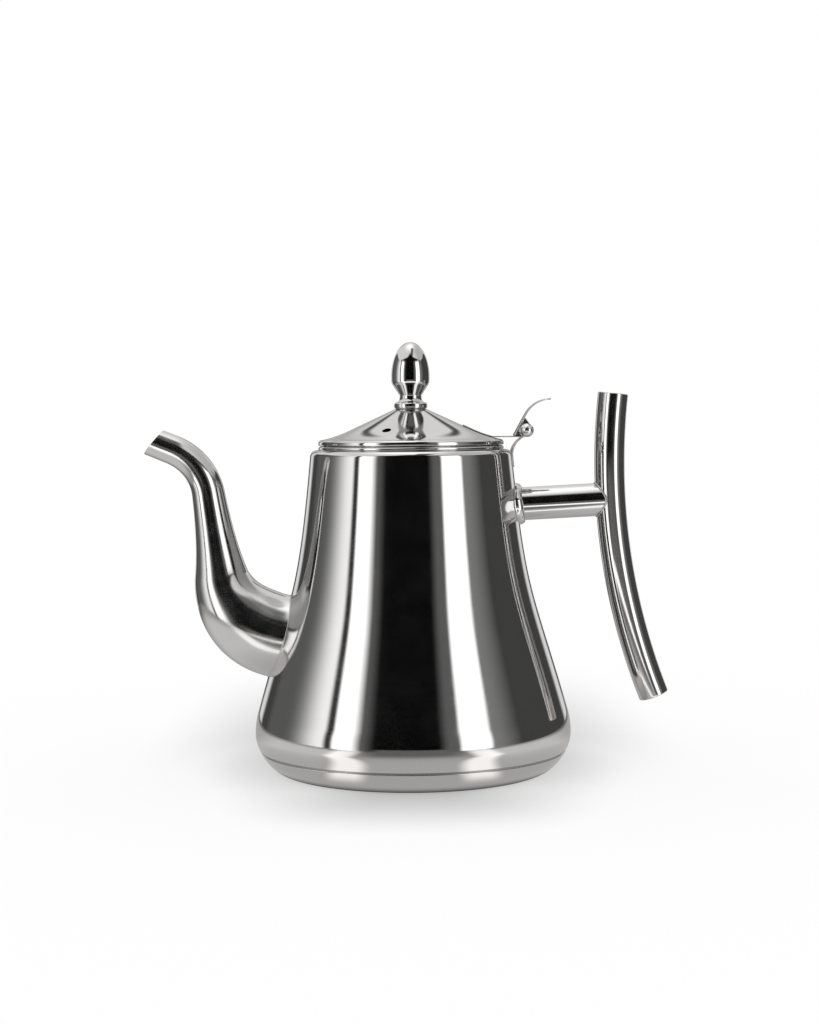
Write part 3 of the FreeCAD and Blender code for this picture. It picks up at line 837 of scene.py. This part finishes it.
lid_low, lid_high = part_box("lid_shell")
lid_rim_h = 0.0027
lid_rim_round = 0.0015
lid_rim_edge = 0.0005
lid_flare_w = 0.0155
lid_flare_h = 0.0047
collar_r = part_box("knob_collar")[1].x
screw_hole_r = 0.0022
vent_r = 0.00225
vent_depth = 0.006
vent_from_rim = 0.0158
vent_azimuth = 247.2
rim_low = lid_low.z
rim_top = rim_low + lid_rim_h
lid_top = lid_high.z
rim_inner = lip_r - lid_rim_round


def lid_line(drop):
    """Points down the lid's skin from the knob's seat to the rim, lowered by a drop."""
    seat = Vector((collar_r, lid_top - drop))
    cone_foot = Vector((lip_r - lid_flare_w, rim_top + lid_flare_h - drop))
    rim = Vector((rim_inner, rim_top - drop))
    pull = cone_foot + (cone_foot - seat) * ((rim.x - cone_foot.x) / 2 / (cone_foot.x - seat.x))
    return straight(seat, cone_foot, 24)[:-1] + bezier([cone_foot, pull, rim], 24)


rim_edge = Vector((lip_r - lid_rim_edge, rim_low + lid_rim_edge))
lid_outline = (
    [Vector((screw_hole_r, lid_top - sheet)), Vector((screw_hole_r, lid_top))]
    + lid_line(0)
    + arc(Vector((rim_inner, rim_top - lid_rim_round)), lid_rim_round, 90, 0, 12)[1:]
    + arc(rim_edge, lid_rim_edge, 0, -90, 6)
    + [Vector((rim_inner, rim_low))]
    + lid_line(sheet)[::-1]
)
lid_steel = metal(
    "polished lid", *polished_tones, polish=0.055, smear=0.05, grain=spun_grain, ripple=0.00003
)
cone_lean = (lid_top - rim_top - lid_flare_h) / (lip_r - lid_flare_w - collar_r)
vent_turn = math.radians(vent_azimuth)
vent_reach = lip_r - vent_from_rim
vent_z = rim_top + lid_flare_h + (lip_r - lid_flare_w - vent_reach) * cone_lean
vent = Vector((vent_reach * math.cos(vent_turn), vent_reach * math.sin(vent_turn), vent_z))
lid_mesh = grown(
    drill_tree(0), turned(lid_outline), Radius=vent_r, Depth=vent_depth, Centre=vent,
    Finish=lid_steel, Turn=Euler((0, math.atan(cone_lean), vent_turn)),
)
lid = piece_of("lid_cone", lid_mesh, lid_steel)
settle(lid, "lid", "polished_steel", "lid_shell")
satin_steel = metal("satin steel", **satin)
finish_node("lid_skirt", satin_steel)


# Knob
# An egg turned from bar on a waisted neck, polished, standing on a rounded collar. A slotted screw
# and a washer draw it down from under the lid.

collar_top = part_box("knob_collar")[1].z
collar_round = 0.0014
knob_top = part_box("knob")[1].z
belly_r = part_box("knob")[1].x
waist_r = 0.0054
neck_h = 0.0033
belly_h = 0.0127
knob_foot_r = 0.0066
tip_flat_r = 0.0053
belly_straight = 0.0016
belly_bend = 0.0052
dome_fullness = 0.56
screw_r = 0.00202
screw_depth = 0.012

collar_inner = collar_r - collar_round
collar_outline = (
    [Vector((screw_hole_r, collar_top)), Vector((screw_hole_r, lid_top))]
    + arc(Vector((collar_inner, lid_top + collar_round)), collar_round, -90, 0, 12)
    + arc(Vector((collar_inner, collar_top - collar_round)), collar_round, 0, 90, 12)
)
knob_steel = metal(
    "polished knob", *polished_tones, polish=0.05, smear=0.04, grain=(60, 60, 2600), ripple=0.00001
)
collar = piece_of("knob_ring", turned(collar_outline, 128), knob_steel)
settle(collar, "lid", "polished_steel", "knob_collar")

foot = Vector((knob_foot_r, collar_top))
waist = Vector((waist_r, collar_top + neck_h))
belly = Vector((belly_r, collar_top + belly_h))
tip = Vector((0, knob_top))
neck_pull = Vector((waist_r, collar_top + neck_h / 3))
cup_centre = belly - Vector((belly_bend, belly_straight))
to_waist = waist - cup_centre
cup_angle = math.degrees(
    math.atan2(to_waist.y, to_waist.x) + math.acos(belly_bend / to_waist.length)
)
cup_foot = polar(cup_centre, belly_bend, cup_angle)
dome_side = Vector((belly_r, belly.y + (knob_top - belly.y) * dome_fullness))
dome_pulls = [dome_side, Vector((tip_flat_r, knob_top))]
knob_outline = (
    [Vector((0, collar_top + screw_depth)), Vector((screw_r, collar_top + screw_depth))]
    + [Vector((screw_r, collar_top))]
    + bezier([foot, neck_pull, waist], 16)[:-1]
    + straight(waist, cup_foot, 12)[:-1]
    + arc(cup_centre, belly_bend, cup_angle, 0, 20)
    + bezier([belly, *dome_pulls, tip], 60)
)
knob = piece_of("egg_knob", turned(knob_outline, 128), knob_steel)
settle(knob, "lid", "polished_steel", "knob")
finish_node("knob_washer", satin_steel)
finish_node("knob_screw", satin_steel)


# Lid hinge
# A strip welded to the shoulder is notched and rolled into two eyes, and a pin with ball nuts runs
# through them and through the lid's knuckle. A strap joins the knuckle to the lid, and a curled
# lever on its back lifts it. These three are polished, while bracket and ball nuts are tumbled.

hinge_steel = metal(
    "polished hinge", *polished_tones, polish=0.07, smear=0.07, grain=(700, 700, 700), ripple=0.00001
)
hinge_spot = Vector(frame["record"]["behaviour"]["joints"][0]["pos_m"])
pin = Vector((hinge_spot.x, hinge_spot.z))
eye_bore = 0.00203
strap_sheet = 0.0006
strip_edge = 0.0002


def strip_section(half_width, half_sheet):
    """Corners of a flat strip's section with round edges, as how far aside and how far off."""
    flat = Vector((half_width - half_sheet, 0))
    near_edge = [polar(flat, half_sheet, angle) for angle in range(-90, 91, 30)]
    far_edge = [-corner for corner in near_edge]
    over = straight(near_edge[-1], far_edge[0], 8)[1:-1]
    under = straight(far_edge[-1], near_edge[0], 8)[1:-1]
    return near_edge + over + far_edge + under


def strip(line, half_widths, strip_sheet, middle=0, bows=None):
    """A strip along a line of the middle plane, about a middle distance aside from that plane.

    The half widths and the bows, which are curvatures across the strip, go with the line's points.
    """
    sections = []
    for i, spot in enumerate(line):
        way = (line[min(i + 1, len(line) - 1)] - line[max(i - 1, 0)]).normalized()
        normal = Vector((-way.y, way.x))
        section = []
        for aside, off in strip_section(half_widths[i], strip_sheet / 2):
            sag = bows[i] * (middle + aside) ** 2 / 2 if bows else 0
            place = spot + normal * (off + sag)
            section.append(Vector((place.x, middle + aside, place.y)))
        sections.append(section)
    return stacked(sections)


def joined(*meshes):
    """One mesh from several closed ones that meet face to face."""
    shape = bmesh.new()
    for mesh in meshes:
        shape.from_mesh(mesh)
    return made(shape)


bracket_sheet = 0.0006
bracket_half = 0.009
bracket_foot_h = 0.006
notch_half = 0.0053
notch_r = 0.0046
eye_mid = eye_bore + bracket_sheet / 2
eye_turn = 305
foot_x = wall_radius(shoulder_z) + bracket_sheet / 2
across = foot_x - pin.x
drop = shoulder_z - pin.y
bracket_bend = (across ** 2 + drop ** 2 - eye_mid ** 2) / (2 * (eye_mid - across))
bend_centre = Vector((foot_x + bracket_bend, shoulder_z))
eye_angle = math.degrees(math.atan2(pin.y - bend_centre.y, pin.x - bend_centre.x))


def in_notch(angle):
    return (polar(bend_centre, bracket_bend, -angle) - pin).length < notch_r


notch_angle = -last_before(in_notch, -180, -eye_angle)
bracket_foot = [
    Vector((wall_radius(z) + bracket_sheet / 2, z))
    for z in (shoulder_z - bracket_foot_h * (1 - i / 8) for i in range(9))
]
bracket_line = bracket_foot[:-1] + arc(bend_centre, bracket_bend, 180, notch_angle, 16)
foot_bow = 1 / wall_radius(shoulder_z)
bracket_bows = [foot_bow] * (len(bracket_foot) - 1) + [foot_bow * (1 - i / 16) for i in range(17)]
ear_line = (
    arc(bend_centre, bracket_bend, notch_angle, eye_angle, 8)[:-1]
    + arc(pin, eye_mid, eye_angle - 180, eye_angle - 180 + eye_turn, 48)
)
ear_half = (bracket_half - notch_half) / 2
ears = [
    strip(ear_line, [ear_half] * len(ear_line), bracket_sheet, side * (notch_half + ear_half))
    for side in (-1, 1)
]
bracket_mesh = joined(
    strip(bracket_line, [bracket_half] * len(bracket_line), bracket_sheet, 0, bracket_bows), *ears
)
tumbled_steel = metal(
    "tumbled steel", (0.74, 0.735, 0.73), (0.80, 0.795, 0.79),
    polish=0.22, smear=0.1, grain=(900, 900, 900), ripple=0.00001,
)
bracket = piece_of("rolled_bracket", bracket_mesh, tumbled_steel)
ease(bracket, strip_edge)
settle(bracket, "kettle", "polished_steel", "hinge_bracket")

ball_r = 0.0034
ball_seat_r = 0.0026
ball_bore = 0.00205
ball_reach = math.sqrt(ball_r ** 2 - ball_seat_r ** 2)
ball_centre = Vector((0, bracket_half + ball_reach))
seat_angle = math.degrees(math.asin(-ball_reach / ball_r))
ball_outline = (
    [Vector((0, ball_centre.y)), Vector((ball_bore, ball_centre.y))]
    + [Vector((ball_bore, bracket_half))]
    + arc(ball_centre, ball_r, seat_angle, 90, 40)[:-1]
    + [Vector((0, ball_centre.y + ball_r))]
)
for side_name, quarter in (("front", 90), ("rear", -90)):
    ball_mesh = turned(ball_outline, 64)
    turn = Matrix.Rotation(math.radians(quarter), 4, "X")
    ball_mesh.transform(Matrix.Translation(hinge_spot) @ turn)
    ball = piece_of(f"ball_nut_{side_name}", ball_mesh, tumbled_steel)
    settle(ball, "kettle", "polished_steel", f"pin_ball_{side_name}")
finish_node("hinge_pin", satin_steel)

knuckle_r = 0.0034
knuckle_half = 0.005
knuckle_back = 0.0056
knuckle_edge = 0.0004
apex_back = 0.0005
apex_rise = 0.0065
strap_low = pin.y - knuckle_r
strap_end = pin.x - knuckle_back
heel = Vector((strap_end, strap_low + strap_sheet))
apex = pin + Vector((-apex_back, apex_rise))
slope = math.degrees(math.atan2(apex.y - heel.y, apex.x - heel.x))
to_apex = apex - pin
touch_angle = math.degrees(
    math.atan2(to_apex.y, to_apex.x) - math.acos(knuckle_r / to_apex.length)
)
toe = Vector((strap_end, strap_low))
drop_line = (
    straight(toe, Vector((pin.x, strap_low)), 8)[:-1]
    + arc(pin, knuckle_r, -90, touch_angle, 32)
    + straight(polar(pin, knuckle_r, touch_angle), apex, 8)[1:-1]
    + straight(apex, heel, 12)
)
bore_line = [pin + (spot - pin).normalized() * eye_bore for spot in drop_line]
knuckle_sections = [
    [Vector((spot.x, y, spot.y)) for spot in line]
    for line, y in (
        (drop_line, -knuckle_half), (drop_line, knuckle_half),
        (bore_line, knuckle_half), (bore_line, -knuckle_half),
    )
]
knuckle = piece_of("drop_knuckle", stacked(knuckle_sections, True), hinge_steel)
ease(knuckle, knuckle_edge)
settle(knuckle, "lid", "polished_steel", "lid_knuckle")

strap_half = 0.005
strap_tab = 0.021
strap_z = strap_low + strap_sheet / 2
tab_line = [
    spot for spot in lid_line(-strap_sheet / 2) if spot.x > lip_r - strap_tab and spot.y > strap_z
]
strap_line = tab_line + straight(Vector((tab_line[-1].x, strap_z)), Vector((strap_end, strap_z)), 12)[1:]
strap_bows = [-cone_lean / spot.x for spot in tab_line]
strap_bows += [0] * (len(strap_line) - len(tab_line))
strap_mesh = strip(strap_line, [strap_half] * len(strap_line), strap_sheet, 0, strap_bows)
strap = piece_of("lid_strap", strap_mesh, hinge_steel)
ease(strap, strip_edge)
settle(strap, "lid", "polished_steel", "lid_hinge_leaf")

lever_sheet = 0.0006
lever_half = 0.007
lever_straight = 0.0016
lever_bend = 0.014
lever_tip_round = 0.004
lever_foot = polar(heel, lever_sheet / 2, slope + 90)
curl_start = polar(polar(apex, lever_straight, slope), lever_sheet / 2, slope + 90)
curl_centre = polar(curl_start, lever_bend + lever_sheet / 2, slope - 90)
curl_line = arc(curl_centre, lever_bend + lever_sheet / 2, slope + 90, 90, 48)
lever_line = straight(lever_foot, curl_start, 12)[:-1] + curl_line
lever_widths = []
for spot in lever_line:
    short = max(0, lever_tip_round - (lever_line[-1] - spot).length)
    lever_widths.append(lever_half - lever_tip_round + math.sqrt(lever_tip_round ** 2 - short ** 2))
lever = piece_of("thumb_curl", strip(lever_line, lever_widths, lever_sheet), hinge_steel)
ease(lever, strip_edge)
settle(lever, "lid", "polished_steel", "thumb_lever")


# Studio
# Even white light, and a white floor with a soft shadow, partly painted into its colour. Only
# reflections see a painted studio: a dark drape in front between two tall strip lights, a pale
# panel on the left, a bright tent above and behind, and the table top. Azimuths and heights are in
# degrees.

scene = bpy.context.scene
scene.view_settings.view_transform = "Standard"
scene.world = bpy.data.worlds.new("studio")
scene.world.use_nodes = True
scene.world.node_tree.nodes.clear()
sky = Wire(scene.world.node_tree)


def band(value, low, high, soft):
    """1 between two limits and 0 outside them, with soft edges centred on the limits."""
    half = soft / 2
    return rise(value, low - half, low + half) * (1 - rise(value, high - half, high + half))


def azimuth_of(x, y):
    """Degrees from the front, positive to the right."""
    return x.math("ARCTAN2", x, 0 - y) * (180 / math.pi)


toward = sky.node("ShaderNodeTexCoord", output="Generated")
sky_x = sky.node("ShaderNodeSeparateXYZ", None, {"Vector": toward})
sky_y = sky_x.output("Y")
sky_z = sky_x.output("Z")
azimuth = azimuth_of(sky_x, sky_y)
off_front = sky.math("ABSOLUTE", azimuth)
height = sky.math("ARCSINE", sky_z) * (180 / math.pi)
sky_rays = sky.node("ShaderNodeLightPath")

drape_front = 0.002
drape_side = 0.06
drape_hem = 0.75
painted = drape_front + rise(off_front, 15, 95) * drape_side
painted = painted + band(off_front, 147, 160, 8) * drape_hem

panels = [
    # azimuths where it starts to rise, is full, starts to fall and ends, then its top and level
    (-62.5, -58.5, -47.5, -36, 28, 1.7),
    (31.5, 36.5, 55.5, 61.5, 28, 1.7),
    (55, 60, 60, 96, 30, 0.25),
    (17, 27, 31, 41, 30, 0.13),
    (-49, -39, -38, -26, 30, 0.12),
]
panel_soft = 3
for start, full, fall, end, top, level in panels:
    panel = rise(azimuth, start, full) * (1 - rise(azimuth, fall, end)) * level
    panel = panel * (1 - rise(height, top - panel_soft, top + panel_soft))
    painted = sky.math("MAXIMUM", painted, panel)

fill_level = 1.15
fill_curve = 2.3
fill_back = 0.12
fill = sky.math("POWER", rise(azimuth, -116, -68), fill_curve) * fill_level
fill = fill + band(azimuth, -135, -70, 20) * fill_back
fill = fill * (1 - rise(azimuth, -69.5, -64.5)) * (1 - rise(height, 22, 32))
painted = sky.math("MAXIMUM", painted, fill)

backdrop_level = 0.47
backdrop = rise(off_front, 160, 169) * rise(height, 1, 5) * backdrop_level
painted = sky.math("MAXIMUM", painted, backdrop)

tent_front_edge = 46
tent_edge_slope = 0.27
tent_foot = 17
tent_side_lift = 8
tent_front_soft = 16
tent_side_soft = 2
tent_low_level = 0.85
tent_top_gain = 0.65
tent_seam_loss = 0.9
lowest_edge = tent_foot + band(off_front, 75, 135, 20) * tent_side_lift
tent_edge = sky.math("MAXIMUM", tent_front_edge - off_front * tent_edge_slope, lowest_edge)
tent_soft = tent_front_soft - rise(off_front, 5, 24) * (tent_front_soft - tent_side_soft)
tent = rise(height - tent_edge, 0, tent_soft)
tent_level = tent_low_level + rise(height, 50, 85) * tent_top_gain
roof_slot = band(sky_x / sky_z, 0.08, 0.38, 0.12) * band(sky_y / sky_z, -1.2, -0.2, 0.25)
right_side = band(azimuth, 50, 140, 40) * (1 - rise(height, 60, 85))
low_back = rise(off_front, 140, 165) * (1 - rise(height, 12, 35))
second_bounce = rise(sky_rays.output("Ray Depth"), 2.2, 2.8)
for dimmer, loss in ((roof_slot, 0.85), (right_side, 0.3), (low_back, 0.45), (second_bounce, 0.5)):
    tent_level = tent_level * (1 - dimmer * loss)
tent_seam = band(off_front, 148, 173, 6) * band(height, 29, 35, 4)
painted = (painted * (1 - tent) + tent * tent_level) * (1 - tent_seam * tent_seam_loss)

strength = 1 + sky_rays.output("Is Glossy Ray") * (painted - 1)
light = sky.node("ShaderNodeBackground", None, {"Color": (1, 1, 1, 1), "Strength": strength})
sky.node("ShaderNodeOutputWorld", None, {"Surface": light})

floor_r = 6
floor_glow = 0.65
side_shade = 0.16
front_shade = 0.2
cast_shade = 0.32
floor_shape = bmesh.new()
bmesh.ops.create_circle(floor_shape, cap_ends=True, segments=64, radius=floor_r)
floor_material = bpy.data.materials.new("white floor")
floor_material.use_nodes = True
floor_material.cycles.emission_sampling = "NONE"
floor_material.node_tree.nodes.clear()
ground = Wire(floor_material.node_tree)
place = ground.node("ShaderNodeTexCoord", output="Object")
ground_x = ground.node("ShaderNodeSeparateXYZ", None, {"Vector": place})
behind = ground_x.output("Y")
aside = ground.math("ABSOLUTE", ground_x)
reach = ground.node("ShaderNodeVectorMath", {"operation": "LENGTH"}, {0: place}, output="Value")
around = ground.math("ABSOLUTE", azimuth_of(ground_x, behind))

# A painted shadow in the floor's colour: soft round the foot and deepest in front, with a paler one cast
# to the back that no lamp casts.
shade = side_shade + (1 - rise(around, 10, 48)) * front_shade
shade_end = 0.165 - rise(around, 20, 60) * 0.05
shade = (1 - rise(reach, 0.075, shade_end)) * shade
cast = rise(behind, -0.03, 0.1) * (1 - rise(behind, 0.1, 0.42)) * (1 - rise(aside, 0.06, 0.15))
white = (1 - shade) * (1 - cast * cast_shade)
pale = ground.node("ShaderNodeCombineColor", None, {0: white, 1: white, 2: white})
lit = ground.node("ShaderNodeBsdfDiffuse", None, {"Color": pale})
clear = ground.node("ShaderNodeEmission", None, {"Color": pale})
# Most of the floor glows with this colour, so the painted shadow shows under any light. The lit rest
# adds the kettle's real shadow.
seen = ground.node("ShaderNodeMixShader", None, {0: floor_glow, 1: lit, 2: clear})

table_r = 0.5
table_soft = 0.02
table_tone = (1, 0.98, 0.97)
table_level = 0.5
light_ring_level = 1.6
light_pool_level = 0.75
contact_shadow_level = 0.12
floor_rays = ground.node("ShaderNodeLightPath")
# What reflections see of the table top is painted light: painted shade near the foot, painted pools of
# light, a painted bright ring further out and a painted dark contact line.
from_above = rise(floor_rays.output("Ray Length") - reach, -0.06, -0.02)
far = rise(reach, 0.27, 0.42)
side_gain = 0.2 - rise(around, 95, 130) * 0.25
# Painted shade: at the sides the glow is lower near the foot.
side_glow = table_level + rise(reach, 0.07, 0.16) * side_gain - far * 0.3
front_glow = table_level - rise(reach, 0.09, 0.25) * 0.35
front_glow = front_glow + band(reach, 0.345, 0.52, 0.15) * from_above * light_ring_level
front = 1 - rise(around, 20, 55 + far * 40)
# Painted pools of light on the table, where the strip lights would fall.
light_pool = band(around - rise(reach, 0.085, 0.16) * 14, 21, 36, 8) * rise(reach, 0.071, 0.08)
glow = side_glow + front * (front_glow - side_glow) + light_pool * light_pool_level
# A painted dark contact line on the table right at the foot's edge.
glow = glow * (contact_shadow_level + rise(reach, foot_r + 0.001, foot_r + 0.007) * (1 - contact_shadow_level))
table_top = ground.node(
    "ShaderNodeEmission", None, {"Color": (*table_tone, 1), "Strength": glow}
)
beyond = ground.node("ShaderNodeBsdfTransparent")
off_table = rise(reach, table_r - table_soft, table_r + table_soft) * rise(around, 20, 32)
mirrored = ground.node("ShaderNodeMixShader", None, {0: off_table, 1: table_top, 2: beyond})
shown = ground.node(
    "ShaderNodeMixShader", None, {0: floor_rays.output("Is Glossy Ray"), 1: seen, 2: mirrored}
)
ground.node("ShaderNodeOutputMaterial", None, {"Surface": shown})
floor = piece_of("floor", made(floor_shape), floor_material)


# Camera
# It stands before the kettle's long side at the height of the lid, tipped a little down and
# rolled by about half a degree.

camera_data = bpy.data.cameras.new("camera")
camera_data.sensor_width = 36
camera_data.lens = 66.94
camera = bpy.data.objects.new("camera", camera_data)
scene.collection.objects.link(camera)
camera_spot = Vector((-0.001, -0.952, 0.17425))
camera_pitch = -2.72
camera_roll = -0.45
camera.matrix_world = (
    Matrix.Translation(camera_spot)
    @ Matrix.Rotation(math.radians(90 + camera_pitch), 4, "X")
    @ Matrix.Rotation(math.radians(camera_roll), 4, "Z")
)
scene.camera = camera
